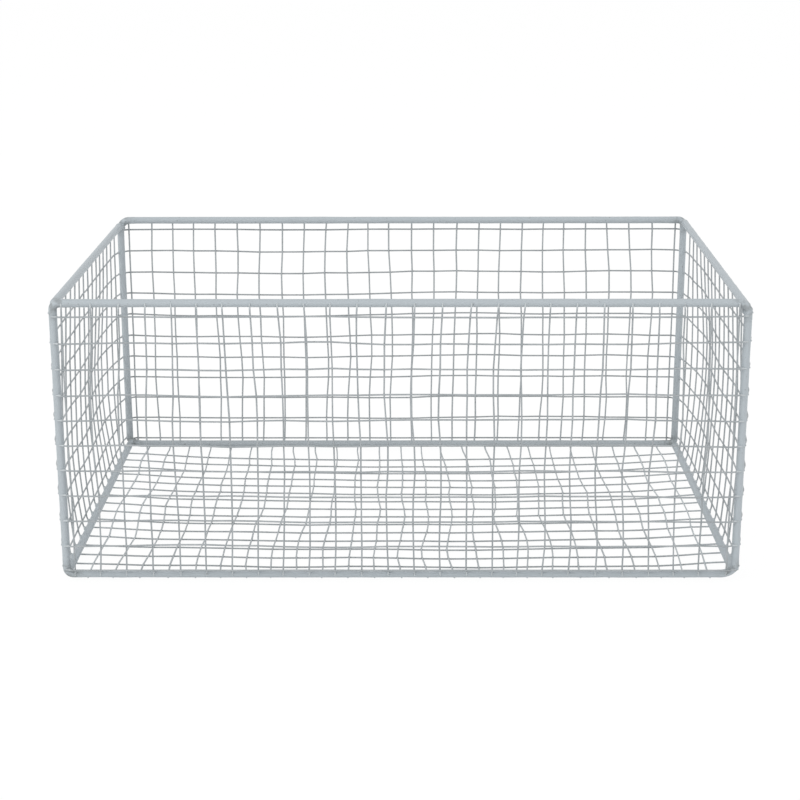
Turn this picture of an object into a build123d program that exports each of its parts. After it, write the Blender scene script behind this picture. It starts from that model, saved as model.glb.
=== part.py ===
from build123d import *
import os

# Wire locker basket: an open-topped rectangular basket of heavy round rod, with a sheet of thin
# square wire mesh welded on the outside of each of its four sides and on its underside. The mesh of
# the left and right sides has bulged a little outwards.
# Millimetres. +X is to the right seen from the front, +Y towards the back, +Z up.
# The origin is the middle of the footprint, on the surface that the basket stands on.

# Frame: sizes between the centre lines of the rods
frame_width = 488.0
frame_depth = 314.0
frame_height = 203.0
rod_d = 5.8
bend_radius = 4.5       # the two bends beside a hoop's own post, on the centre line
head_bend_radius = 6.5  # the bend at the open end of the rim
foot_bend_radius = 8.0  # the bend at the open end of the bottom rod
head_drop = 4.7         # how far below the rim's centre line the closing post starts
foot_rise = 4.0         # how far above the bottom rod's centre line the closing post ends
rail_lap = 2.0          # how far a rail's end reaches in beside the bend of a hoop

# Mesh: round wire, laid in two layers
wire_d = 1.3
mesh_pitch = 19.0
end_overrun = 0.6       # how far a wire's end passes the centre line of the rod it is welded to
press_in = 1.5          # straight length of a pressed wire on the rod, past its centre line
press_run = 3.0         # length over which an outer wire is pressed in to reach the rod
press_bend = 1.5        # the pressed bends, on the centre line
end_mesh_drop = 2.5     # the cross wires of the front and back stand this much below the middle
bottom_mesh_shift = 4.0  # the long wires of the bottom stand this much ahead of the middle
side_bulge = 6.5        # how far the mesh of the left and right sides stands out in its middle
bulge_rise_up = 30.0    # it rises to that over this length from a rail
bulge_rise_across = 45.0  # and over this length from a post
bulge_bend = 10.0       # the bends of the wires where the rise ends, on the centre line
bulge_room = 0.1        # more room between its two layers, which cross there at a slant

# Welds
weld_gap = 0.05         # paint-filled space that keeps welded pieces separate solids
rail_bead_base = 0.9    # how thick a rail's bead is against the hoop
rail_bead_tip = 0.35    # and at its other end
rail_bead_length = 4.5
rail_bead_lap = 1.2     # how far a rail's bead reaches in beside the bend of a hoop
post_bead = 0.7         # how thick a closing post's bead is before it is set over to the inner side
post_bead_length = 2.6
post_bead_inset = 0.7   # a closing post's bead is set over by this much along X and along Y

# Levels that follow from the sizes above
rod_r = rod_d / 2
wire_r = wire_d / 2
inner_level = rod_r + weld_gap + wire_r        # from a rod's centre line out to the inner layer
outer_level = inner_level + wire_d + weld_gap  # and out to the outer layer
slanted_level = outer_level + bulge_room       # and out to the outer layer of a side that bulges
bottom_z = outer_level + wire_r                # centre line of the bottom rods
rim_z = bottom_z + frame_height                # centre line of the rim
half_width = frame_width / 2
half_depth = frame_depth / 2
panel_edge = press_in + press_run + wire_d     # least room from a rod's centre line to a wire
bottom_edge = panel_edge + rod_d               # the same for the bottom's front-to-back wires


def rod_along(path, radius):
    """A round rod of this radius along a smooth path."""
    section = Plane(origin=path @ 0, z_dir=path % 0) * Circle(radius)
    return sweep(section, path=path)


def straight_rod(start, end, radius):
    """A straight round rod between two points."""
    run = Vector(*end) - Vector(*start)
    bar = Cylinder(radius, run.length, align=(Align.CENTER, Align.CENTER, Align.MIN))
    return Plane(origin=start, z_dir=run) * bar


def turned_to_back(shape):
    """The same piece at the back of the basket, turned half round."""
    return Rot(0, 0, 180) * shape


def hoop(radius):
    """The front hoop: a bent C that is open towards +X, its ends cut level for the closing post."""
    corners = [
        (half_width, -half_depth, rim_z - head_bend_radius - rod_d),
        (half_width, -half_depth, rim_z),
        (-half_width, -half_depth, rim_z),
        (-half_width, -half_depth, bottom_z),
        (half_width, -half_depth, bottom_z),
        (half_width, -half_depth, bottom_z + foot_bend_radius + rod_d),
    ]
    radii = [head_bend_radius, bend_radius, bend_radius, foot_bend_radius]
    bent_rod = rod_along(FilletPolyline(*corners, radius=radii), radius)
    foot = bottom_z + foot_rise
    head = rim_z - head_drop
    mouth = Box(frame_width, frame_depth, head - foot, align=(Align.MIN, Align.CENTER, Align.MIN))
    return bent_rod - Pos(0, -half_depth, foot) * mouth


def parted(bent_rod):
    """The hoop in three lengths, parted where the bends of its own post end, so that none is hollow."""
    slot = Box(rod_d + rod_d, rod_d + rod_d, weld_gap)
    for z in (bottom_z + bend_radius, rim_z - bend_radius):
        bent_rod -= Pos(-half_width, -half_depth, z) * slot
    return bent_rod


def closing_post():
    """The front right post, which stands between the two ends of the front hoop."""
    foot = bottom_z + foot_rise + weld_gap
    head = rim_z - head_drop - weld_gap
    return straight_rod((half_width, -half_depth, foot), (half_width, -half_depth, head), rod_r)


def rail(side, z, hoop_room):
    """A straight rod between the two hoops; side is -1 on the left and 1 on the right."""
    reach = half_depth - rod_r + rail_lap
    bar = straight_rod((side * half_width, -reach, z), (side * half_width, reach, z), rod_r)
    return bar - hoop_room - turned_to_back(hoop_room)


def rail_bead(side, z, hoop_room):
    """The weld round the front end of a rail, shaped to the hoop and the rail."""
    start = -half_depth + rod_r - rail_bead_lap
    cone = Cone(
        rod_r + rail_bead_base,
        rod_r + rail_bead_tip,
        rail_bead_length,
        align=(Align.CENTER, Align.CENTER, Align.MIN),
    )
    bead = Plane(origin=(side * half_width, start, z), z_dir=(0, 1, 0)) * cone
    bore_start = (side * half_width, start - rod_d, z)
    bore_end = (side * half_width, start + rail_bead_length + rod_d, z)
    return bead - straight_rod(bore_start, bore_end, rod_r + weld_gap) - hoop_room


def post_end_bead(start_z):
    """The weld on the inner side of one end of the front closing post, upwards from start_z."""
    bottom_up = (Align.CENTER, Align.CENTER, Align.MIN)
    bead = Cylinder(rod_r + post_bead, post_bead_length, align=bottom_up)
    bead = Pos(half_width - post_bead_inset, -half_depth + post_bead_inset, start_z) * bead
    bore_start = (half_width, -half_depth, start_z - rod_d)
    bore_end = (half_width, -half_depth, start_z + post_bead_length + rod_d)
    return bead - straight_rod(bore_start, bore_end, rod_r + weld_gap)


def spaced(span, edge, shift=0):
    """Places of evenly pitched wires across a span, about its middle."""
    count = int((span - 2 * edge) // mesh_pitch) + 1
    first = shift - mesh_pitch * (count - 1) / 2
    return [first + mesh_pitch * step for step in range(count)]


def inner_wires(panel, places, length):
    """Straight wires of the layer that touches the rods, along the panel's local Y."""
    reach = length / 2 + end_overrun
    wires = [straight_rod((x, -reach, inner_level), (x, reach, inner_level), wire_r) for x in places]
    return [panel * wire for wire in wires]


def outer_wires(panel, places, length):
    """Wires of the outer layer, along local X, whose ends are pressed in to reach the rods."""
    half = length / 2
    wires = []
    for y in places:
        points = [
            (-half - end_overrun, y, inner_level),
            (-half + press_in, y, inner_level),
            (-half + press_in + press_run, y, outer_level),
            (half - press_in - press_run, y, outer_level),
            (half - press_in, y, inner_level),
            (half + end_overrun, y, inner_level),
        ]
        wires.append(panel * rod_along(FilletPolyline(*points, radius=press_bend), wire_r))
    return wires


def bulge_share(place, half, rise):
    """How much of the bulge a side's mesh has at a place: 0 at its rods and 1 from the rise on."""
    return min(1, (half - press_in - abs(place)) / rise)


def bowed_inner_wires(panel, places, half_x, half_y):
    """The inner layer of a mesh that bulges: wires along local Y, straight on the rods."""
    lift = half_y - press_in
    wires = []
    for x in places:
        top = inner_level + side_bulge * bulge_share(x, half_x, bulge_rise_across)
        points = [
            (x, -half_y - end_overrun, inner_level),
            (x, -lift, inner_level),
            (x, -lift + bulge_rise_up, top),
            (x, lift - bulge_rise_up, top),
            (x, lift, inner_level),
            (x, half_y + end_overrun, inner_level),
        ]
        radii = [press_bend, bulge_bend, bulge_bend, press_bend]
        wires.append(panel * rod_along(FilletPolyline(*points, radius=radii), wire_r))
    return wires


def bowed_outer_wires(panel, places, half_x, half_y):
    """The outer layer of a mesh that bulges: wires along local X, pressed in to reach the rods."""
    lift = half_x - press_in
    wires = []
    for y in places:
        rise = side_bulge * bulge_share(y, half_y, bulge_rise_up)
        top = slanted_level + rise
        pressed = slanted_level + rise * press_run / bulge_rise_across
        points = [
            (-half_x - end_overrun, y, inner_level),
            (-lift, y, inner_level),
            (-lift + press_run, y, pressed),
            (-lift + bulge_rise_across, y, top),
            (lift - bulge_rise_across, y, top),
            (lift - press_run, y, pressed),
            (lift, y, inner_level),
            (half_x + end_overrun, y, inner_level),
        ]
        radii = [press_bend, press_bend, bulge_bend, bulge_bend, press_bend, press_bend]
        wires.append(panel * rod_along(FilletPolyline(*points, radius=radii), wire_r))
    return wires


# Panels: local X along the outer layer's wires, local Z outwards, on the rods' centre lines
middle_z = (bottom_z + rim_z) / 2
front_panel = Plane(origin=(0, -half_depth, middle_z), x_dir=(1, 0, 0), z_dir=(0, -1, 0))
back_panel = Plane(origin=(0, half_depth, middle_z), x_dir=(-1, 0, 0), z_dir=(0, 1, 0))
left_panel = Plane(origin=(-half_width, 0, middle_z), x_dir=(0, -1, 0), z_dir=(-1, 0, 0))
right_panel = Plane(origin=(half_width, 0, middle_z), x_dir=(0, 1, 0), z_dir=(1, 0, 0))
bottom_panel = Plane(origin=(0, 0, bottom_z), x_dir=(1, 0, 0), z_dir=(0, 0, -1))

across_width = spaced(frame_width, panel_edge)
across_depth = spaced(frame_depth, panel_edge)
up_the_ends = spaced(frame_height, panel_edge, -end_mesh_drop)
up_the_sides = spaced(frame_height, panel_edge)
across_bottom = spaced(frame_width, bottom_edge)
along_bottom = spaced(frame_depth, panel_edge, bottom_mesh_shift)
half_height = frame_height / 2

# Frame and welds
front_hoop = parted(hoop(rod_r))
hoop_room = hoop(rod_r + weld_gap)
post = closing_post()
left_top = rail(-1, rim_z, hoop_room)
left_bottom = rail(-1, bottom_z, hoop_room)
rail_beads = [rail_bead(side, z, hoop_room) for side in (-1, 1) for z in (bottom_z, rim_z)]
foot_bead = post_end_bead(bottom_z + foot_rise + weld_gap)
head_bead = post_end_bead(rim_z - head_drop - weld_gap - post_bead_length)
post_beads = [foot_bead, head_bead]

nodes = {
    "front_hoop": [front_hoop],
    "front_right_post": [post],
    "back_hoop": [turned_to_back(front_hoop)],
    "back_left_post": [turned_to_back(post)],
    "left_top_rail": [left_top],
    "right_top_rail": [turned_to_back(left_top)],
    "left_bottom_rail": [left_bottom],
    "right_bottom_rail": [turned_to_back(left_bottom)],
    "rail_weld_beads": rail_beads + [turned_to_back(bead) for bead in rail_beads],
    "post_weld_beads": post_beads + [turned_to_back(bead) for bead in post_beads],
    "front_mesh_uprights": inner_wires(front_panel, across_width, frame_height),
    "front_mesh_cross_wires": outer_wires(front_panel, up_the_ends, frame_width),
    "back_mesh_uprights": inner_wires(back_panel, across_width, frame_height),
    "back_mesh_cross_wires": outer_wires(back_panel, up_the_ends, frame_width),
    "left_mesh_uprights": bowed_inner_wires(left_panel, across_depth, half_depth, half_height),
    "left_mesh_cross_wires": bowed_outer_wires(left_panel, up_the_sides, half_depth, half_height),
    "right_mesh_uprights": bowed_inner_wires(right_panel, across_depth, half_depth, half_height),
    "right_mesh_cross_wires": bowed_outer_wires(right_panel, up_the_sides, half_depth, half_height),
    "bottom_mesh_crosswise": inner_wires(bottom_panel, across_bottom, frame_depth),
    "bottom_mesh_lengthwise": outer_wires(bottom_panel, along_bottom, frame_width),
}

os.makedirs("parts", exist_ok=True)
for name, pieces in nodes.items():
    solids = [solid for piece in pieces for solid in piece.solids()]
    shape = Compound(children=solids) if len(solids) > 1 else solids[0]
    export_step(shape, f"parts/{name}.step")
    print(name, len(solids))
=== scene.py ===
# %% [markdown]
# A wire locker basket, dressed for its photograph. The construction is loaded as a fixed frame:
# heavy rods, straight wires and weld beads at their real places. This notebook models the same
# pieces again as a finished object, with a thick coat, unevenly bent wires and blended welds.

# %% Load the frame
import math
import bmesh
import bpy
from mathutils import Euler, Matrix, Vector


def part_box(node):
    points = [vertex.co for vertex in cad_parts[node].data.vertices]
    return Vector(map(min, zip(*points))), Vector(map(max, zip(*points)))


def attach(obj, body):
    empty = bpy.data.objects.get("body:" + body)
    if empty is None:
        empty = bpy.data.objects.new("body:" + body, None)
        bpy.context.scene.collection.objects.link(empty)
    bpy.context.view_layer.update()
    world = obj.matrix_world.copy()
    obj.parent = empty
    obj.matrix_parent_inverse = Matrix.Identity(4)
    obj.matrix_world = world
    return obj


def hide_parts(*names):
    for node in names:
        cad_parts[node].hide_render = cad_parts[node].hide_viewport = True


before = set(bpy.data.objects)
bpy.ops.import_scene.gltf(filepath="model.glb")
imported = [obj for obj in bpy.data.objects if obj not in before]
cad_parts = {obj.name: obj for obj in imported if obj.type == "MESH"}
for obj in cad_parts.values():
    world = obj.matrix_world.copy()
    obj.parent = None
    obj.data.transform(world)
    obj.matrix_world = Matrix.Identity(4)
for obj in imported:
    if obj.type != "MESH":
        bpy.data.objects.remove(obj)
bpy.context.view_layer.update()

bpy.ops.object.select_all(action="DESELECT")
print("frame:", len(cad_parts), "nodes")

# %% [markdown]
# Sizes could be typed again here, but then they could drift from the construction. So all places
# come from the frame: a rail's box gives the rod's radius and the corner that the rail stands on,
# and a row of wires gives the wire's radius. What a box can't give, such as the radius of a bend,
# is a named value, in metres.

# %% Measure the frame
top_low, top_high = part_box("left_top_rail")
bottom_low, bottom_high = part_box("left_bottom_rail")
post_low, post_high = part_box("front_right_post")
rod_r = (top_high.z - top_low.z) / 2
half_width = -(top_low.x + top_high.x) / 2
half_depth = -(post_low.y + post_high.y) / 2
rim_z = (top_low.z + top_high.z) / 2
bottom_z = (bottom_low.z + bottom_high.z) / 2
middle_z = (rim_z + bottom_z) / 2
half_height = (rim_z - bottom_z) / 2
print("rod", rod_r, "corner", half_width, half_depth, "from", bottom_z, "to", rim_z)

# %% [markdown]
# The wires of a panel lie in two layers. The solids keep the layers apart, but on the real basket
# the welds have let them sink into each other by about a quarter of the wire. The mesh of the left
# and right sides bulges. Its box reaches further out than the face of a flat panel would, and the
# difference is the bulge.

# %% Measure the mesh
mesh_pitch = 0.019
layer_share = 0.75
upright_low, upright_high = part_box("front_mesh_uprights")
wire_r = (upright_high.y - upright_low.y) / 2
inner_level = -half_depth - (upright_low.y + upright_high.y) / 2
outer_level = inner_level + 2 * wire_r * layer_share
end_overrun = (upright_high.z - upright_low.z) / 2 - half_height
flat_face = half_width + inner_level + 3 * wire_r
side_bulge = -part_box("left_mesh_cross_wires")[0].x - flat_face
print("wire", wire_r, "layers", inner_level, outer_level, "bulge of a side", side_bulge)

# %% [markdown]
# A few handles for modelling by hand. Operators act on whatever is selected, so each helper first
# puts one piece alone under the hand. Vertices are then picked by their place, which keeps working
# when a count of rings or sides is changed, as a list of indices would not.

# %% Take and pick
def take(*pieces):
    """Selects these pieces alone; the last one is active."""
    bpy.ops.object.select_all(action="DESELECT")
    for piece in pieces:
        piece.select_set(True)
    bpy.context.view_layer.objects.active = pieces[-1]
    return pieces[-1]


def new_piece(name):
    """Names the piece that an operator has just added."""
    piece = bpy.context.object
    piece.name = name
    piece.data.name = name
    return piece


def open_mesh(piece):
    """Takes a piece into edit mode, with all of it selected."""
    take(piece)
    bpy.ops.object.mode_set(mode="EDIT")
    bpy.ops.mesh.select_mode(type="VERT")
    bpy.ops.mesh.select_all(action="SELECT")


def close_mesh():
    """Leaves edit mode."""
    bpy.ops.object.mode_set(mode="OBJECT")


def pick(piece, wanted):
    """In edit mode, selects the vertices whose place is wanted, and nothing else."""
    bpy.ops.mesh.select_all(action="DESELECT")
    mesh = bmesh.from_edit_mesh(piece.data)
    for vertex in mesh.verts:
        vertex.select_set(bool(wanted(vertex.co)))
    mesh.select_flush(True)
    bmesh.update_edit_mesh(piece.data)


# %% [markdown]
# What is done to whole pieces. A finished piece keeps its place in its mesh and sits at the origin
# unturned, so settle comes after every turn, and a copy has a mesh of its own.

# %% Copy, join and finish
def copy_of(piece, name):
    """A second piece with a mesh of its own."""
    take(piece)
    bpy.ops.object.duplicate(linked=False)
    return new_piece(name)


def joined(name, pieces):
    """Makes several pieces one."""
    take(*pieces)
    bpy.ops.object.join()
    return new_piece(name)


def settle(piece):
    """Writes a piece's place and turn into its mesh."""
    take(piece)
    bpy.ops.object.transform_apply(location=True, rotation=True, scale=True)
    return piece


def finish_modifiers(piece):
    """Applies every modifier, so that the mesh is what is seen."""
    take(piece)
    for modifier in list(piece.modifiers):
        bpy.ops.object.modifier_apply(modifier=modifier.name)
    return piece


def smooth(piece, sharp):
    """Smooth shading, but for edges sharper than this many degrees."""
    take(piece)
    bpy.ops.object.shade_smooth_by_angle(angle=math.radians(sharp))


# %% [markdown]
# The real rods carry a coat so thick that it varies along the rod. It could be sculpted, but a
# Displace modifier with soft clouds swells and thins a surface in the same way, and gives the same
# result each run. Pointed along one axis, it also moves whole wires about, which is how the mesh
# gets its unevenness further down.

# %% Soft clouds
def clouds(name, size):
    """A procedural texture whose patches are about this large, in metres."""
    texture = bpy.data.textures.new(name, type="CLOUDS")
    texture.noise_scale = size
    texture.noise_depth = 1
    return texture


def push(piece, direction, strength, group):
    """Moves a piece's points along a direction, by the weights of a group."""
    modifier = piece.modifiers.new(name="push", type="DISPLACE")
    modifier.vertex_group = group
    modifier.direction = direction
    modifier.strength = strength
    modifier.mid_level = 0
    return modifier


def wander(piece, texture, direction, strength, group=""):
    """The same, but to and fro by clouds."""
    modifier = push(piece, direction, strength, group)
    modifier.texture = texture
    modifier.texture_coords = "LOCAL"
    modifier.mid_level = 0.5


# %% [markdown]
# A round rod could be a curve with a round section, but rings that are extruded and spun stay even
# and square to the rod, and the coat later needs rings all along it to swell. So a circle is
# extruded along each straight run and spun round each bend.

# %% Runs and bends
rod_sides = 20
ring_gap = 0.012
bend_steps = 8


def run(step):
    """Extrudes the selected ring along a straight run, ring by ring."""
    count = max(1, round(step.length / ring_gap))
    for _ in range(count):
        bpy.ops.mesh.extrude_region_move(TRANSFORM_OT_translate={"value": step / count})


def bend(centre, angle):
    """Spins the selected ring round a bend in the front plane, clockwise for a positive angle."""
    bpy.ops.mesh.spin(steps=bend_steps, angle=-angle, center=centre, axis=(0, 1, 0))


def close_skin():
    """In edit mode, turns every face of the piece outwards."""
    bpy.ops.mesh.select_all(action="SELECT")
    bpy.ops.mesh.normals_make_consistent(inside=False)


# %% [markdown]
# The front hoop is one bent rod: rim, left post and bottom rod. On the right it is open, and its
# two ends turn to meet a closing post in wider bends than those on the left. The lower end runs
# out under the post's foot before it has come upright. Straight rods with bevelled corners could
# stand in for it, but a bevel pinches the round of the rod, so one ring is led all the way. Both
# ends are cut level, with their faces closed, where the post stands.

# %% The front hoop
bend_r = 0.0045
head_bend_r = 0.008
foot_bend_r = 0.0125
foot_overrun = 0.0024
up = Vector((0, 0, 1))
quarter = math.radians(90)
hair = wire_r / 10
cut_threshold = 1e-7


def cut_level(hoop, level, wanted, **kept):
    """Cuts the wanted stretch of a hoop at a level and closes the cut."""
    pick(hoop, wanted)
    place = (0, 0, level)
    bpy.ops.mesh.bisect(
        plane_co=place, plane_no=up, use_fill=True, threshold=cut_threshold, **kept
    )


def make_hoop(name):
    """The bent rod at the front, from the open end of its rim round to that of its bottom rod."""
    head_x = half_width - head_bend_r
    foot_x = half_width - foot_bend_r + foot_overrun
    closed_x = bend_r - half_width
    bpy.ops.mesh.primitive_circle_add(
        vertices=rod_sides,
        radius=rod_r,
        location=(head_x, -half_depth, rim_z),
        rotation=(0, quarter, 0),
    )
    hoop = settle(new_piece(name))
    open_mesh(hoop)
    bend((head_x, -half_depth, rim_z - head_bend_r), quarter)
    pick(hoop, lambda p: abs(p.x - head_x) < hair)
    run(Vector((closed_x - head_x, 0, 0)))
    bend((closed_x, -half_depth, rim_z - bend_r), -quarter)
    run(Vector((0, 0, bottom_z - rim_z + 2 * bend_r)))
    bend((closed_x, -half_depth, bottom_z + bend_r), -quarter)
    run(Vector((foot_x - closed_x, 0, 0)))
    bend((foot_x, -half_depth, bottom_z + foot_bend_r), -quarter)
    head_side = head_x - ring_gap
    foot_side = foot_x - ring_gap
    cut_level(hoop, post_high.z, lambda p: p.x > head_side and p.z > middle_z, clear_inner=True)
    cut_level(hoop, post_low.z, lambda p: p.x > foot_side and p.z < middle_z, clear_outer=True)
    close_skin()
    close_mesh()
    return hoop


front_hoop = make_hoop("front_hoop_coated")
print("front hoop", [round(side, 4) for side in front_hoop.dimensions])

# %% [markdown]
# The closing post and the rails are straight rods. A cylinder has their shape, but no rings along
# it, and the coat would have nothing to swell. So each is a circle with a cap, extruded ring by
# ring. The post runs on a little into the hoop's two ends, as its welds do.

# %% The closing post
weld_depth = 0.0006


def make_rod(name, start, end):
    """A straight coated rod between two points."""
    way = end - start
    turn = up.rotation_difference(way).to_euler()
    bpy.ops.mesh.primitive_circle_add(
        vertices=rod_sides, radius=rod_r, fill_type="NGON", location=start, rotation=turn
    )
    rod = settle(new_piece(name))
    open_mesh(rod)
    run(way)
    close_skin()
    close_mesh()
    return rod


post_foot = Vector((half_width, -half_depth, post_low.z - weld_depth))
post_head = Vector((half_width, -half_depth, post_high.z + weld_depth))
front_post = make_rod("front_right_post_coated", post_foot, post_head)
print("front post", [round(side, 4) for side in front_post.dimensions])

# %% [markdown]
# A rail joins the hoops from front to back. The top rails are welded on below the rim, lowest
# where the rim's bend to the open end is widest. A rail meets a hoop in its bend, where a plain
# end would stick out past the bend's outer side. So the end is narrowed and set in towards the
# middle of the bend, to hide behind it.

# %% The rails
taper_length = 0.004
taper_share = 0.62
set_in_share = 1 - math.sqrt(0.5)
closed_drop = 0.0013
open_drop = 0.0042
closed_bend = (bend_r, 0)
head_bend = (head_bend_r, 0)
foot_bend = (foot_bend_r, foot_overrun)


def taper(rail, side, end, bend_radius, overrun):
    """Narrows a rail's end (-1 front, 1 back) and sets it in behind the hoop's bend."""
    reach = half_depth - weld_depth
    inset = bend_radius * set_in_share
    start = reach - taper_length - inset
    open_mesh(rail)
    bpy.ops.mesh.bisect(plane_co=(0, end * start, 0), plane_no=(0, 1, 0))
    pick(rail, lambda p: p.y * end > reach - hair)
    bpy.ops.transform.resize(value=(taper_share, 1, taper_share))
    upwards = 1 if rail.data.vertices[0].co.z < middle_z else -1
    bpy.ops.transform.translate(value=(side * (overrun - inset), 0, upwards * inset))
    close_mesh()


def make_rail(name, side, z, open_bend, drops):
    """A rail between the hoops, on the left (-1) or the right (1); drops lower its ends."""
    reach = half_depth - weld_depth
    start = Vector((side * half_width, -reach, z - drops[0]))
    end = Vector((side * half_width, reach, z - drops[1]))
    rail = make_rod(name, start, end)
    taper(rail, side, -1, *(closed_bend if side < 0 else open_bend))
    taper(rail, side, 1, *(open_bend if side < 0 else closed_bend))
    return rail


left_drops = (closed_drop, open_drop)
right_drops = (open_drop, closed_drop)
rails = {
    "left_top_rail": make_rail("left_top_rail_coated", -1, rim_z, head_bend, left_drops),
    "right_top_rail": make_rail("right_top_rail_coated", 1, rim_z, head_bend, right_drops),
    "left_bottom_rail": make_rail("left_bottom_rail_coated", -1, bottom_z, foot_bend, (0, 0)),
    "right_bottom_rail": make_rail("right_bottom_rail_coated", 1, bottom_z, foot_bend, (0, 0)),
}
print("rails", [rail.name for rail in rails.values()])

# %% [markdown]
# The back is the same hoop and post, turned half round, so its open end is on the left. A mirrored
# copy would put it on the right, and would turn the faces inside out besides.

# %% The back
half_turn = 2 * quarter


def turned_to_back(piece, name):
    """A copy of a front piece, turned half round to the back."""
    back = copy_of(piece, name)
    back.rotation_euler = (0, 0, half_turn)
    return settle(back)


frame_rods = {
    "front_hoop": front_hoop,
    "back_hoop": turned_to_back(front_hoop, "back_hoop_coated"),
    "front_right_post": front_post,
    "back_left_post": turned_to_back(front_post, "back_left_post_coated"),
    **rails,
}
print("rods", len(frame_rods))

# %% [markdown]
# At each corner the hoop, a rail and sometimes the closing post are welded, and the coat has run
# over the weld. A bevel can't follow where three rods meet. Instead, copies of the rods are cut
# off round the corner, a ball in their throat stands in for the weld metal, and a voxel remesh
# makes one skin of it all. Smoothing melts that into fillets.

# %% Copies of the rods round a corner
weld_reach = 0.013
throat_share = 0.6
throat_segments = 16
throat_rings = 8


def keep_side(piece, place, normal):
    """Cuts a piece at a plane, closes the cut, and keeps the side that the normal points to."""
    open_mesh(piece)
    bpy.ops.mesh.bisect(
        plane_co=place, plane_no=normal, clear_inner=True, use_fill=True, threshold=cut_threshold
    )
    close_mesh()


def stub(piece, corner, inward):
    """A copy of a rod, cut off at a short way from a corner."""
    end = copy_of(piece, "stub")
    for axis in range(3):
        normal = Vector((0, 0, 0))
        normal[axis] = -inward[axis]
        keep_side(end, corner + weld_reach * inward, normal)
    return end


def weld_metal(corner, inward):
    """A ball in the throat between the rods of a corner."""
    radius = rod_r * throat_share
    bpy.ops.mesh.primitive_uv_sphere_add(
        segments=throat_segments, ring_count=throat_rings, radius=radius
    )
    throat = new_piece("weld_metal")
    throat.location = corner + inward * radius
    return settle(throat)


# %% [markdown]
# The voxels have to be much smaller than the rod, or its round would turn to steps that the
# smoothing can't take out. Smoothing shrinks the skin a little, and the last step fattens it
# again, so that it lies just over the rods.

# %% Coated welds at the corners
weld_voxel = 0.00042
weld_skin = 0.00012
melt_share = 0.5
melt_rounds = 12


def make_weld(name, side, level):
    """The coated weld at a front corner; side is -1 or 1, level is the rod's height."""
    corner = Vector((side * half_width, -half_depth, level))
    inward = Vector((-side, 1, 1 if level < middle_z else -1))
    height = "bottom" if level < middle_z else "top"
    rail = rails[("left_" if side < 0 else "right_") + height + "_rail"]
    rods = [front_hoop, rail] + ([front_post] if side > 0 else [])
    weld = joined(name, [stub(rod, corner, inward) for rod in rods] + [weld_metal(corner, inward)])
    remesh = weld.modifiers.new(name="one_skin", type="REMESH")
    remesh.mode = "VOXEL"
    remesh.voxel_size = weld_voxel
    melt = weld.modifiers.new(name="melt", type="SMOOTH")
    melt.factor = melt_share
    melt.iterations = melt_rounds
    finish_modifiers(weld)
    open_mesh(weld)
    bpy.ops.transform.shrink_fatten(value=weld_skin)
    close_mesh()
    return weld


front_welds = [
    make_weld("front_left_top_weld", -1, rim_z),
    make_weld("front_right_top_weld", 1, rim_z),
    make_weld("front_left_bottom_weld", -1, bottom_z),
    make_weld("front_right_bottom_weld", 1, bottom_z),
]
back_names = [
    "back_right_top_weld",
    "back_left_top_weld",
    "back_right_bottom_weld",
    "back_left_bottom_weld",
]
back_welds = [turned_to_back(weld, name) for weld, name in zip(front_welds, back_names)]
welds = front_welds + back_welds
for weld in welds:
    print(weld.name, len(weld.data.polygons), [round(1000 * size, 1) for size in weld.dimensions])

# %% [markdown]
# Every panel of mesh is made flat on the bench first: X runs across, Y up, and Z outwards from
# the rods' centre lines. All wires of a row are alike, so one is a cylinder with a ring cut in
# wherever another wire crosses it, and an Array modifier repeats it. Every end sinks into its rod
# a little. On all but the underside the outer row also leans in, from its last crossing on, to
# reach the rods.

# %% One wire
wire_sides = 8
lean_rings = 4
press_in = 0.0015
end_round_share = 0.45
end_round_steps = 2
end_sink = 0.0006
outer_reach = outer_level - inner_level + end_sink


def cut_rings(piece, axis, places):
    """Cuts a ring through a wire at each place along an axis."""
    normal = Vector((0, 0, 0))
    normal[axis] = 1
    open_mesh(piece)
    for place in places:
        bpy.ops.mesh.select_all(action="SELECT")
        bpy.ops.mesh.bisect(plane_co=normal * place, plane_no=normal, threshold=cut_threshold)
    close_mesh()


def round_ends(piece, axis, reach):
    """Bevels a wire's two end faces, where the coat has rounded them."""
    open_mesh(piece)
    pick(piece, lambda p: abs(p[axis]) > reach - hair)
    bpy.ops.mesh.bevel(offset=wire_r * end_round_share, segments=end_round_steps)
    close_mesh()


def ease(share):
    """A soft step from 0 to 1."""
    return 0.5 - 0.5 * math.cos(math.pi * share)


def press_ends(piece, axis, half_length, crossings, depth):
    """Cuts a wire's rings and leans its two ends in, from the last crossings to the rods."""
    pressed = half_length - press_in
    free = crossings[-1] + wire_r
    leaning = [free + (pressed - free) * step / lean_rings for step in range(1, lean_rings + 1)]
    cut_rings(piece, axis, list(crossings) + leaning + [-place for place in leaning])
    open_mesh(piece)
    for step, place in enumerate(leaning):
        sunk = depth * (ease((step + 1) / lean_rings) - ease(step / lean_rings))
        pick(piece, lambda p: abs(p[axis]) > place - hair)
        bpy.ops.transform.translate(value=(0, 0, -sunk))
    close_mesh()


print("the outer row leans in by", outer_reach)

# %% [markdown]
# The two rows differ only in the way they run, in their level and in how far their ends have to
# go. The inner row lies on the rods, so its ends only sink in.

# %% Rows of wires
def repeat(piece, count, step):
    """Repeats a piece in a straight row."""
    row = piece.modifiers.new(name="row", type="ARRAY")
    row.count = count
    row.use_relative_offset = False
    row.use_constant_offset = True
    row.constant_offset_displace = step


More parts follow.
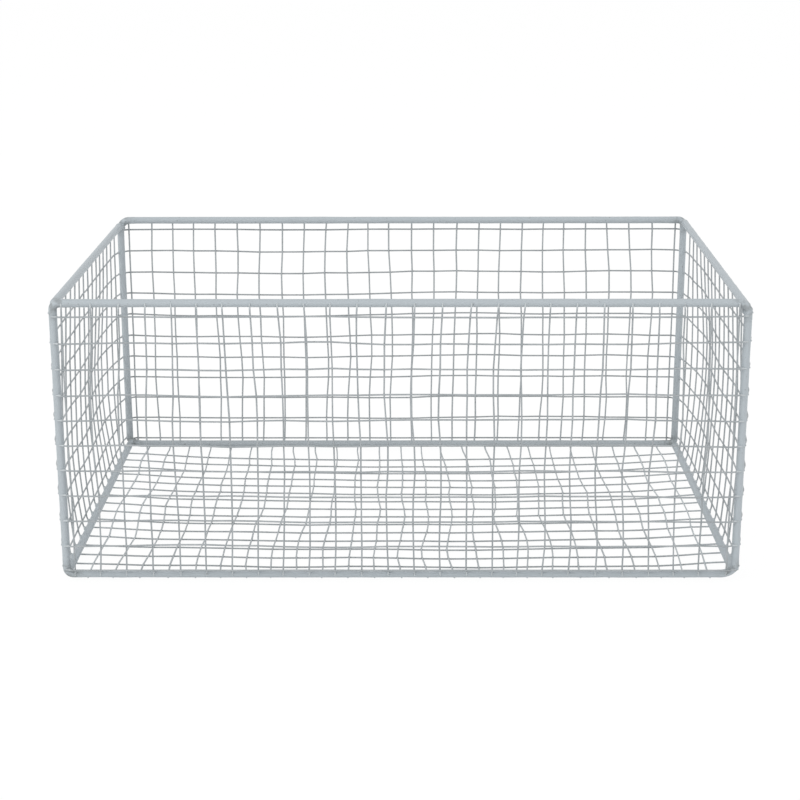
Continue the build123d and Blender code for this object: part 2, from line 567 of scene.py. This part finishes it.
def make_row(name, axis, place, turn, half_length, crossings, depth, count, step):
    """Wires along the bench's X (axis 0) or Y (axis 1), whose ends lean in by a depth."""
    reach = half_length + end_overrun
    bpy.ops.mesh.primitive_cylinder_add(
        vertices=wire_sides, radius=wire_r, depth=2 * reach, location=place, rotation=turn
    )
    wire = settle(new_piece(name))
    round_ends(wire, axis, reach)
    press_ends(wire, axis, half_length, crossings, depth)
    repeat(wire, count, step)
    return finish_modifiers(wire)


def inner_row(name, across, up_places, half_length):
    """The row that lies on the rods, along the bench's Y."""
    place = (across[0], 0, inner_level)
    turn = (quarter, 0, 0)
    step = (mesh_pitch, 0, 0)
    return make_row(name, 1, place, turn, half_length, up_places, end_sink, len(across), step)


def outer_row(name, across, up_places, half_length, lean):
    """The row on top, along the bench's X; lean is how far its ends lean in."""
    place = (0, up_places[0], outer_level)
    turn = (0, quarter, 0)
    step = (0, mesh_pitch, 0)
    return make_row(name, 0, place, turn, half_length, across, lean, len(up_places), step)


# %% [markdown]
# Where two wires cross they are spot welded, and the coat has filled the corners. Where a wire
# meets a rod the coat has drawn a web between them. A remesh, as at the corners of the frame,
# would need millions of faces for hundreds of these. So each is only a small squashed ball: one
# is modelled, and rows of it follow the wires.

# %% Spot welds and webs of coat
bead_segments = 8
bead_rings = 6
crossing_shares = (1.3, 1.3, 1.5)
upright_web_shares = (1.15, 2.4, 2.0)
cross_web_shares = (2.4, 1.15, 2.0)
web_inset_share = 0.62


def bead_rows(name, shares, place, rows):
    """A ball squashed to shares of the wire's radius, repeated by rows of (count, step)."""
    bpy.ops.mesh.primitive_uv_sphere_add(segments=bead_segments, ring_count=bead_rings, radius=1)
    bead = new_piece(name)
    bead.scale = [wire_r * share for share in shares]
    bead.location = place
    settle(bead)
    for count, step in rows:
        repeat(bead, count, step)
    return finish_modifiers(bead)


def panel_welds(name, across, up_places, half_across, half_up, cross_inset):
    """All spot welds and webs of one panel; cross_inset is that of its outer row's webs."""
    sideways = (len(across), (mesh_pitch, 0, 0))
    upwards = (len(up_places), (0, mesh_pitch, 0))
    first = (across[0], up_places[0], (inner_level + outer_level) / 2)
    pieces = [bead_rows("crossings", crossing_shares, first, [sideways, upwards])]
    web_level = rod_r - wire_r
    for end in (-1, 1):
        place = (across[0], end * (half_up - rod_r * web_inset_share), web_level)
        pieces.append(bead_rows("upright_webs", upright_web_shares, place, [sideways]))
        place = (end * (half_across - cross_inset), up_places[0], web_level)
        pieces.append(bead_rows("cross_webs", cross_web_shares, place, [upwards]))
    return joined(name, pieces)


# %% [markdown]
# A finished panel is stood up against its rods, and only then bent out of true. A lattice could
# bend it, but would also pull the wire ends off their rods. Groups of weights say for each point
# how far it may go. The first two hold the ends: one may slide along its rod, but can't leave it.

# %% How freely a point may move
fade_length = 0.022


def fade(place, reach):
    """1 in the open panel, falling softly to 0 towards the rods at both ends of the reach."""
    share = min(max((reach - abs(place)) / fade_length, 0), 1)
    return share * share * (3 - 2 * share)


def along(share, stops):
    """The value at a share of the way, on straight lines between stops of (share, value)."""
    share = max(share, stops[0][0])
    for (start, low), (end, high) in zip(stops, stops[1:]):
        if share <= end:
            return low + (high - low) * (share - start) / (end - start)
    return stops[-1][1]


def weigh(piece, name, share_at):
    """A group whose weights are the shares at the points' places, kept between 0 and 1."""
    group = piece.vertex_groups.new(name=name)
    for vertex in piece.data.vertices:
        group.add([vertex.index], min(max(share_at(vertex.co), 0), 1), "REPLACE")


# %% [markdown]
# Use has pressed the left and right mesh outwards. It stands out most three quarters of the way
# back, on the left low down and on the right at half height, and it leans in evenly from there to
# the rails. A round swelling from a formula looks like a cushion, so the bulge follows stops: at
# shares of the way from one rod (-1) to the other (1), how much of it there is. They are judged
# from how the uprights lean in the photograph. The top rails slope, so the heads of the uprights
# come down to them, from the topmost cross wire on.

# %% The bulge of the sides
bulge_backwards = [
    (-1, 0), (-0.75, 0.65), (-0.5, 0.85), (-0.05, 0.6), (0.4, 0.97), (0.55, 1), (0.8, 0.45), (1, 0)
]
bulge_upwards = {
    "left": [(-1, 0), (-0.6, 0.75), (-0.35, 1), (0, 0.93), (0.3, 0.6), (0.6, 0.25), (1, 0)],
    "right": [(-1, 0), (-0.6, 0.6), (-0.2, 0.95), (0.1, 1), (0.4, 0.75), (0.7, 0.35), (1, 0)],
}
rows_above_middle = 5
weld_follow_share = 0.1


def bulge(place, half_across, side):
    """The share of the bulge at a place on a side's bench."""
    back = place.x / half_across * (-1 if side == "left" else 1)
    return along(back, bulge_backwards) * along(place.y / half_height, bulge_upwards[side])


def head_drop(place, welds):
    """The share of open_drop by which an upright's head, or the weld on it, comes down."""
    slope = (open_drop - closed_drop) / (2 * half_depth * open_drop)
    drop = (open_drop + closed_drop) / (2 * open_drop) - slope * place.x
    free = mesh_pitch * rows_above_middle + wire_r
    share = (place.y - free) / (half_height + end_overrun - free)
    return drop * (share > weld_follow_share if welds else min(max(share, 0), 1))


# %% [markdown]
# On the underside the long wires bow towards the front, most of all those at the back. Its outer
# row doesn't lean in at its ends: there the whole mesh rises to the rails, because single hooks
# under the rails would show from the front.

# %% The bow and the lift of the underside
bow_middle_share = 0.62
bow_slope_share = 0.38
lift_stops = [(0.72, 0), (0.8, 0.1), (0.92, 0.85), (1, 1)]


def bow(place, half_across, half_up):
    """The share of the bow; the low end of this bench's Y is the basket's back."""
    sideways = 1 - (place.x / half_across) ** 2
    to_back = bow_middle_share - bow_slope_share * place.y / half_depth
    return sideways * fade(place.y, half_up) * to_back


def lift(place, half_across, half_up):
    """The share of the rise to the rails."""
    return along(abs(place.x) / half_across, lift_stops) * fade(place.y, half_up)


def weigh_panel(piece, side, half_across, half_up, welds):
    """Gives a piece of a panel its groups, while it is still flat on the bench."""
    weigh(piece, "free_across", lambda p: fade(p.x, half_across))
    weigh(piece, "free_up", lambda p: fade(p.y, half_up))
    if side == "bottom":
        weigh(piece, "bow", lambda p: bow(p, half_across, half_up))
        weigh(piece, "lift", lambda p: lift(p, half_across, half_up))
    if side in bulge_upwards:
        weigh(piece, "bulge", lambda p: bulge(p, half_across, side))
        weigh(piece, "head", lambda p: head_drop(p, welds))


# %% [markdown]
# Each panel is turned from the bench to its side of the basket. Turning the bench's frame by
# quarter turns keeps X across and Y up on every side, so one set of rows serves all five.

# %% Stand the panels up
panel_stands = {
    "front": (Vector((0, -half_depth, middle_z)), Euler((quarter, 0, 0))),
    "back": (Vector((0, half_depth, middle_z)), Euler((quarter, 0, half_turn))),
    "left": (Vector((-half_width, 0, middle_z)), Euler((quarter, 0, -quarter))),
    "right": (Vector((half_width, 0, middle_z)), Euler((quarter, 0, quarter))),
    "bottom": (Vector((0, 0, bottom_z)), Euler((half_turn, 0, 0))),
}


def stand_up(piece, side):
    """Brings a piece of a panel from the bench to its side of the basket."""
    piece.location, piece.rotation_euler = panel_stands[side]
    return settle(piece)


# %% [markdown]
# Now the wires get their shapes from welding and use. First come the large moves, each along one
# axis. Then clouds kink the wires over a short way and let them drift over a long one, always
# within the panel. All 169 wires could be bent by hand instead, but the clouds are read at each
# point's own place, so a spot weld moves with the two wires that cross under it. The coat of the
# back mesh is a little thicker.

# %% Bend a panel out of true
side_mesh_drop = 0.0025
bottom_bow = 0.017
back_coat = 0.00007
kink_across = clouds("kink_across", size=0.021)
kink_up = clouds("kink_up", size=0.024)
drift_across = clouds("drift_across", size=0.085)
drift_up = clouds("drift_up", size=0.1)
flat_axes = {"front": "XZ", "back": "XZ", "left": "YZ", "right": "YZ", "bottom": "XY"}
# each side's kinks, its drift across and its drift up
unevenness = {
    "front": (0.0011, 0.0070, 0.0040),
    "back": (0.0011, 0.0070, 0.0040),
    "left": (0.0018, 0.0120, 0.0040),
    "right": (0.0018, 0.0120, 0.0040),
    "bottom": (0.0014, 0.0110, 0.0070),
}


def bend_by_use(piece, side):
    """The large moves of a standing panel."""
    if side == "bottom":
        push(piece, "Y", -bottom_bow, "bow")
        push(piece, "Z", outer_reach, "lift")
    if side in bulge_upwards:
        push(piece, "X", side_bulge if side == "right" else -side_bulge, "bulge")
        push(piece, "Z", -open_drop, "head")
        push(piece, "Z", -side_mesh_drop, "free_up")
    if side == "back":
        push(piece, "NORMAL", back_coat, "")


def bend_out_of_true(piece, side):
    """Kinks a standing panel's wires, and lets them drift, within their own plane."""
    kink, drift_a, drift_u = unevenness[side]
    axis_across, axis_up = flat_axes[side]
    wander(piece, kink_across, axis_across, kink, "free_across")
    wander(piece, kink_up, axis_up, kink, "free_up")
    wander(piece, drift_across, axis_across, drift_a, "free_across")
    wander(piece, drift_up, axis_up, drift_u, "free_up")
    finish_modifiers(piece)


print("clouds", [texture.name for texture in bpy.data.textures])

# %% [markdown]
# The rows have to stand where the frame's wires stand. Their places could be counted out from one
# corner, but the box of each row also says how many wires it has. The underside's bench is turned
# over, so its places are read backwards.

# %% Places of the wires
def places(low, high):
    """The centre lines of a row of wires whose box runs from low to high."""
    count = round((high - low - 2 * wire_r) / mesh_pitch) + 1
    return [low + wire_r + mesh_pitch * step for step in range(count)]


def wire_places(side, inner_node, outer_node):
    """Where a panel's wires stand on its bench, across and up."""
    inner_low, inner_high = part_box(inner_node)
    outer_low, outer_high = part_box(outer_node)
    if side in bulge_upwards:
        across = places(inner_low.y, inner_high.y)
    else:
        across = places(inner_low.x, inner_high.x)
    if side == "bottom":
        return across, [-place for place in reversed(places(outer_low.y, outer_high.y))]
    return across, [place - middle_z for place in places(outer_low.z, outer_high.z)]


# %% [markdown]
# The real basket has four sides and an underside of the same mesh. They differ in length, in how
# the outer row ends and in what use has done to them, so one function makes all five: the rows
# and the welds are weighed on the bench, stood up and bent.

# %% The five panels
wire_sharp = 50


def make_panel(side, inner_node, outer_node, half_across, half_up):
    """One panel of mesh as three pieces: the inner row, the outer row and the welds."""
    across, upwards = wire_places(side, inner_node, outer_node)
    lean = 0 if side == "bottom" else outer_reach
    inset = 0 if side == "bottom" else rod_r * web_inset_share
    rows = {
        inner_node: inner_row(inner_node + "_coated", across, upwards, half_up),
        outer_node: outer_row(outer_node + "_coated", across, upwards, half_across, lean),
        "welds": panel_welds(side + "_mesh_welds", across, upwards, half_across, half_up, inset),
    }
    for node, piece in rows.items():
        weigh_panel(piece, side, half_across, half_up, node == "welds")
        stand_up(piece, side)
        bend_by_use(piece, side)
        bend_out_of_true(piece, side)
        smooth(piece, wire_sharp)
    print(side, len(across), "by", len(upwards), "wires")
    return rows


panels = {}
for side in ("front", "back", "left", "right"):
    half_across = half_depth if side in bulge_upwards else half_width
    uprights = side + "_mesh_uprights"
    panels[side] = make_panel(side, uprights, side + "_mesh_cross_wires", half_across, half_height)
panels["bottom"] = make_panel(
    "bottom", "bottom_mesh_crosswise", "bottom_mesh_lengthwise", half_width, half_depth
)

# %% [markdown]
# The rods get their swelling last, after the welds have taken clean copies of them. The same
# clouds go over rods and welds, so that one coat seems to run over both.

# %% Swell the coat
coat_swell = clouds("coat_swell", size=0.014)
coat_unevenness = 0.0004
rod_sharp = 50
weld_sharp = 80


def swell(piece, sharp):
    """Swells and thins a piece's coat."""
    wander(piece, coat_swell, "NORMAL", coat_unevenness)
    finish_modifiers(piece)
    smooth(piece, sharp)


for rod in frame_rods.values():
    swell(rod, rod_sharp)
for weld in welds:
    swell(weld, weld_sharp)
print("coated", len(frame_rods), "rods and", len(welds), "welds")

# %% [markdown]
# Materials could be wired node by node, but that hides what they do. Here they are worked out like
# sums. A Signal is a number on its way through the nodes, and adding or multiplying Signals adds
# Math nodes. Its fade turns a distance into a soft edge.

# %% Sums for materials
class Signal:
    """One output in a material, with arithmetic."""

    def __init__(self, finish, socket):
        self.finish = finish
        self.socket = socket

    def maths(self, operation, *values):
        """Adds a Math node on these values."""
        settings = {"operation": operation}
        return self.finish.node("ShaderNodeMath", settings, dict(enumerate(values)))

    def __add__(self, other):
        return self.maths("ADD", self, other)

    def __sub__(self, other):
        return self.maths("SUBTRACT", self, other)

    def __rsub__(self, other):
        return self.maths("SUBTRACT", other, self)

    def __mul__(self, other):
        return self.maths("MULTIPLY", self, other)

    def __pow__(self, other):
        return self.maths("POWER", self, other)

    def __rpow__(self, other):
        return self.maths("POWER", other, self)

    __radd__ = __add__
    __rmul__ = __mul__

    def least(self, other):
        """The smaller of the two."""
        return self.maths("MINIMUM", self, other)

    def most(self, other):
        """The larger of the two."""
        return self.maths("MAXIMUM", self, other)

    def size(self):
        """Its distance from 0."""
        return self.maths("ABSOLUTE", self)

    def fade(self, low, high):
        """0 below low, 1 above high, and soft between; low may be the larger of the two."""
        share = (self - low) * (1 / (high - low))
        share = share.most(0).least(1)
        return share * share * (3 - 2 * share)


# %% [markdown]
# A Finish holds the nodes of a material, or of the surround further down, and starts empty. All
# nodes come from one method, those of the sums too. It takes the kind of node, its settings, and
# what goes into its sockets: values or Signals. Sockets go by name, or by number where several
# share a name.

# %% Finishes
class Finish:
    """The nodes of a material or a world, and the one method that adds a node to them."""

    def __init__(self, owner):
        self.owner = owner
        owner.use_nodes = True
        self.tree = owner.node_tree
        self.tree.nodes.clear()

    def node(self, kind, settings, values, out=0):
        """Adds a node and gives one of its outputs."""
        node = self.tree.nodes.new(kind)
        for key, value in settings.items():
            setattr(node, key, value)
        for key, value in values.items():
            if isinstance(value, Signal):
                self.tree.links.new(value.socket, node.inputs[key])
            else:
                node.inputs[key].default_value = value
        return Signal(self, node.outputs[out]) if node.outputs else None

    def blend(self, share, first, second):
        """A colour between two colours."""
        settings = {"data_type": "RGBA"}
        return self.node("ShaderNodeMix", settings, {0: share, 6: first, 7: second}, out=2)

    def noise(self, place, scale, detail):
        """Soft random patches; a larger scale makes them smaller."""
        values = {"Vector": place, "Scale": scale, "Detail": detail}
        return self.node("ShaderNodeTexNoise", {}, values)


# %% [markdown]
# The coat has to know where it is on the basket. Shade is painted into the frame's corners, with
# dirt, and on the back, most towards its bottom, and where the wires end on the rods a highlight
# is painted on them. The tones could be painted by hand, but distances from the rods' centre
# lines, worked out from Object coordinates, follow the shape by themselves.

# %% Where painted shade, dirt and highlights go
shade_and_dirt_reach = 0.016
shade_and_dirt_core = 0.003
shade_and_dirt_patches = 260
shade_and_dirt_range = (0.35, 0.65)
speck_patches = 420
speck_range = (0.70, 0.76)
speck_share = 0.5
on_rod_reach = rod_r * 1.3
on_rod_core = rod_r * 0.8


def distances(x, y, z):
    """How far a point is from the sides' rods, from those in front and behind, and in height."""
    from_side = (x.size() - half_width).size()
    from_end = (y.size() - half_depth).size()
    from_edge = ((z - middle_z).size() - half_height).size()
    return from_side, from_end, from_edge


def corner_shade_and_dirt(finish, place, from_side, from_end, from_edge):
    """Patches of painted shade, mixed with dirt, round the corners of the frame."""
    from_corner = (from_side * from_side + from_end * from_end + from_edge * from_edge) ** 0.5
    patches = finish.noise(place, shade_and_dirt_patches, detail=2).fade(*shade_and_dirt_range)
    return from_corner.fade(shade_and_dirt_reach, shade_and_dirt_core) * patches


def specks(finish, place):
    """Small specks of dirt all over."""
    return finish.noise(place, speck_patches, detail=1).fade(*speck_range) * speck_share


def back_shade(y, z, shade_on_back, shade_low_down):
    """Painted shade at the back: so much all over it, and so much more towards the bottom."""
    at_back = y.fade(half_depth - 2 * rod_r, half_depth - rod_r)
    low_down = z.fade(middle_z, bottom_z)
    return at_back * (low_down * shade_low_down + shade_on_back)


# %% [markdown]
# The coat is a pale blue-grey satin paint with an orange-peel surface. The peel could be modelled,
# but it is too fine for the mesh, so it is a bump in the material. The rods have a thick coat of
# nearly one tone. The thin coat of the wires is mottled and darker, with a painted highlight where
# their ends lie on the rods.

# %% The coat
mottle_patches = 55
mottle_range = (0.38, 0.62)
mottle_share = 0.7
grain_patches = 900
peel_patches = 520
fine_peel_patches = 1500
peel_share = 0.6
peel_depth = 0.00025
peel_strength = 0.25
dull_patches = 140
least_roughness = 0.44
dull_change = 0.16
dirt_roughness = 0.15
clear_coat = 0.12


def colour(red, green, blue):
    """A colour from screen values of 0 to 255, made linear for a material by the sRGB curve."""
    parts = [part / 255 for part in (red, green, blue)]
    linear = [p / 12.92 if p <= 0.04045 else ((p + 0.055) / 1.055) ** 2.4 for p in parts]
    return tuple(linear) + (1.0,)


def make_coat(name, tones, corner_share, shade_on_back=0, shade_low_down=0):
    """A coat of these tones; painted shade and dirt at the corners, painted shade at the back."""
    finish = Finish(bpy.data.materials.new(name))
    place = finish.node("ShaderNodeTexCoord", {}, {}, out="Object")
    mottle = finish.noise(place, mottle_patches, detail=3).fade(*mottle_range)
    grain = finish.noise(place, grain_patches, detail=2)
    mixture = mottle * mottle_share + grain * (1 - mottle_share)
    tone = finish.blend(mixture, tones["deep"], tones["pale"])
    parts = finish.node("ShaderNodeSeparateXYZ", {}, {0: place}).socket.node.outputs
    x, y, z = [Signal(finish, part) for part in parts]
    from_side, from_end, from_edge = distances(x, y, z)
    # On the rods this is their own tone; on the wires' ends it is a painted highlight.
    rod_tone_and_lit_ends = from_side.least(from_end).least(from_edge).fade(on_rod_reach, on_rod_core)
    tone = finish.blend(rod_tone_and_lit_ends, tone, tones["rod_tone_and_lit_ends"])
    # The dirt tone is painted shade in the frame's corners, mixed with dirt, and at the back, and
    # it also colours specks of dirt all over.
    dirt_and_shade = corner_shade_and_dirt(finish, place, from_side, from_end, from_edge) * corner_share
    dirt_and_shade = (dirt_and_shade + specks(finish, place) + back_shade(y, z, shade_on_back, shade_low_down)).least(1)
    tone = finish.blend(dirt_and_shade, tone, tones["dirt"])
    fine_peel = finish.noise(place, fine_peel_patches, detail=1) * (1 - peel_share)
    peel = finish.noise(place, peel_patches, detail=2) * peel_share + fine_peel
    relief = {"Strength": peel_strength, "Distance": peel_depth, "Height": peel}
    dulling = finish.noise(place, dull_patches, detail=2) * dull_change
    values = {
        "Base Color": tone,
        "Roughness": least_roughness + dulling + dirt_and_shade * dirt_roughness,
        "Normal": finish.node("ShaderNodeBump", {}, relief),
        "Coat Weight": clear_coat,
    }
    surface = finish.node("ShaderNodeBsdfPrincipled", {}, values)
    finish.node("ShaderNodeOutputMaterial", {}, {0: surface})
    return finish.owner


# %% [markdown]
# Rods and wires carry the same paint, but not in the same tones. One material with a mask could
# serve both, but two from the same function are easier to adjust. Their tones are screen values,
# set by comparing renders with the photograph.

# %% Two coats
# The dirt tones also stand for painted shade at the corners and the back, and the thin coat's tone
# at the rods is a painted highlight on the wires' ends.
thick_tones = {
    "pale": colour(180, 188, 193),
    "deep": colour(167, 175, 181),
    "rod_tone_and_lit_ends": colour(174, 182, 187),
    "dirt": colour(118, 122, 122),
}
thin_tones = {
    "pale": colour(170, 175, 178),
    "deep": colour(153, 159, 162),
    "rod_tone_and_lit_ends": colour(190, 196, 199),
    "dirt": colour(112, 116, 118),
}
# The rods get painted shade low down at the back; the wires get it all over the back mesh.
rod_coat = make_coat("thick_coat", thick_tones, corner_share=0.6, shade_low_down=0.22)
wire_coat = make_coat("thin_coat", thin_tones, corner_share=0.4, shade_on_back=0.2)
print("coats", rod_coat.name, wire_coat.name)

# %% [markdown]
# Every finished piece says what it is made of, that it rides on the basket's one rigid body, and
# which solids of the frame it stands in for. The welds stand in for both kinds of weld bead, and
# the spot welds, which the frame doesn't have, for none.

# %% Dress the pieces
def dress(piece, material, slot, *nodes):
    """Finishes a piece: its coat, the body it rides on and the nodes it stands for. slot is not
    used.
    """
    piece.data.materials.clear()
    piece.data.materials.append(material)
    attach(piece, "root")
    if nodes:
        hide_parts(*nodes)


for node, rod in frame_rods.items():
    dress(rod, rod_coat, "frame_coat", node)
for weld in welds:
    dress(weld, rod_coat, "frame_coat", "rail_weld_beads", "post_weld_beads")
for rows in panels.values():
    for node, piece in rows.items():
        dress(piece, wire_coat, "mesh_coat", *([] if node == "welds" else [node]))
print("dressed", len(frame_rods) + len(welds) + 3 * len(panels), "pieces")

# %% [markdown]
# A plain pale floor. More light would turn it white, but the basket's tones would go with it. So
# for the camera and for reflections the floor is mostly its own white, and what is left of its
# shading keeps a trace of the basket's shadow.

# %% Floor
floor_size = 12
floor_level = -0.0002
floor_tone = 0.95
floor_white = 1.015
floor_white_share = 0.94
white = (1, 1, 1, 1)


def looked_at(finish):
    """1 where the camera looks, straight, reflected or through glass; 0 for rays that light."""
    rays = finish.node("ShaderNodeLightPath", {}, {}).socket.node.outputs
    seen = Signal(finish, rays["Is Camera Ray"]) + Signal(finish, rays["Is Glossy Ray"])
    return (seen + Signal(finish, rays["Is Transmission Ray"])).least(1)


bpy.ops.mesh.primitive_plane_add(size=floor_size, location=(0, 0, floor_level))
floor = settle(new_piece("floor"))
floor_finish = Finish(bpy.data.materials.new("pale_floor"))
grey = (floor_tone, floor_tone, floor_tone, 1)
paint = floor_finish.node("ShaderNodeBsdfDiffuse", {}, {"Color": grey})
glow = floor_finish.node("ShaderNodeEmission", {}, {"Color": white, "Strength": floor_white})
glow_share = looked_at(floor_finish) * floor_white_share
mixed = floor_finish.node("ShaderNodeMixShader", {}, {0: glow_share, 1: paint, 2: glow})
floor_finish.node("ShaderNodeOutputMaterial", {}, {0: mixed})
floor.data.materials.append(floor_finish.owner)
print("floor", floor_size, "m")

# %% [markdown]
# The surround does two things. It lights the basket evenly from all round, and to the camera and
# to reflections it is plain white, without lighting anything more. A picture of a studio could do
# the same, but two plain backgrounds need no file.

# %% Surround
sky_strength = 0.73

surround = Finish(bpy.data.worlds.new("surround"))
bpy.context.scene.world = surround.owner
sky = surround.node("ShaderNodeBackground", {}, {"Color": white, "Strength": sky_strength})
backdrop = surround.node("ShaderNodeBackground", {}, {"Color": white, "Strength": 1})
mixed = surround.node("ShaderNodeMixShader", {}, {0: looked_at(surround), 1: sky, 2: backdrop})
surround.node("ShaderNodeOutputWorld", {}, {0: mixed})
print("surround", sky_strength)

# %% [markdown]
# The shadows in the photograph are soft, so the lamps are large. A sun or a small lamp would draw
# every wire on the floor. The key lamp is high at the front left, a weaker one is at the right,
# and a faint one low in front keeps the undersides of the front rods from going dark. They all
# face the middle of the basket.

# %% Lamps
def lamp(name, place, size, power):
    """A square area lamp that faces the basket."""
    data = bpy.data.lights.new(name, type="AREA")
    data.size = size
    data.energy = power
    light = bpy.data.objects.new(name, data)
    light.location = place
    aim = Vector((0, 0, middle_z)) - Vector(place)
    light.rotation_euler = aim.to_track_quat("-Z", "Y").to_euler()
    bpy.context.scene.collection.objects.link(light)
    print(name, power, "W")


lamp("key_lamp", place=(-3.4, -2.6, 4.2), size=3.2, power=106)
lamp("fill_lamp", place=(3.2, -0.6, 1.4), size=2.4, power=18)
lamp("low_lamp", place=(-0.6, -2.0, 0.25), size=1.2, power=4.5)

# %% [markdown]
# The camera stands where the photographer stood. It could be moved until the picture looks right,
# but then a wrong lens can hide in a wrong distance. So its place comes from the eight corners of
# the frame in the photograph: how they converge gives the distance and the lens.

# %% Camera
sensor_width = 36
lens = 81.89
camera_place = Vector((0.0057, -1.3998, 0.5002))
look_down = math.radians(16.255)
look_left = math.radians(0.274)
roll = math.radians(-0.094)

camera_data = bpy.data.cameras.new("camera")
camera_data.sensor_width = sensor_width
camera_data.lens = lens
camera = bpy.data.objects.new("camera", camera_data)
aim = Euler((quarter - look_down, 0, look_left)).to_matrix() @ Matrix.Rotation(roll, 3, "Z")
camera.location = camera_place
camera.rotation_euler = aim.to_euler()
bpy.context.scene.collection.objects.link(camera)
bpy.context.scene.camera = camera
bpy.context.scene.view_settings.view_transform = "Standard"
print("camera at", [round(value, 3) for value in camera_place])
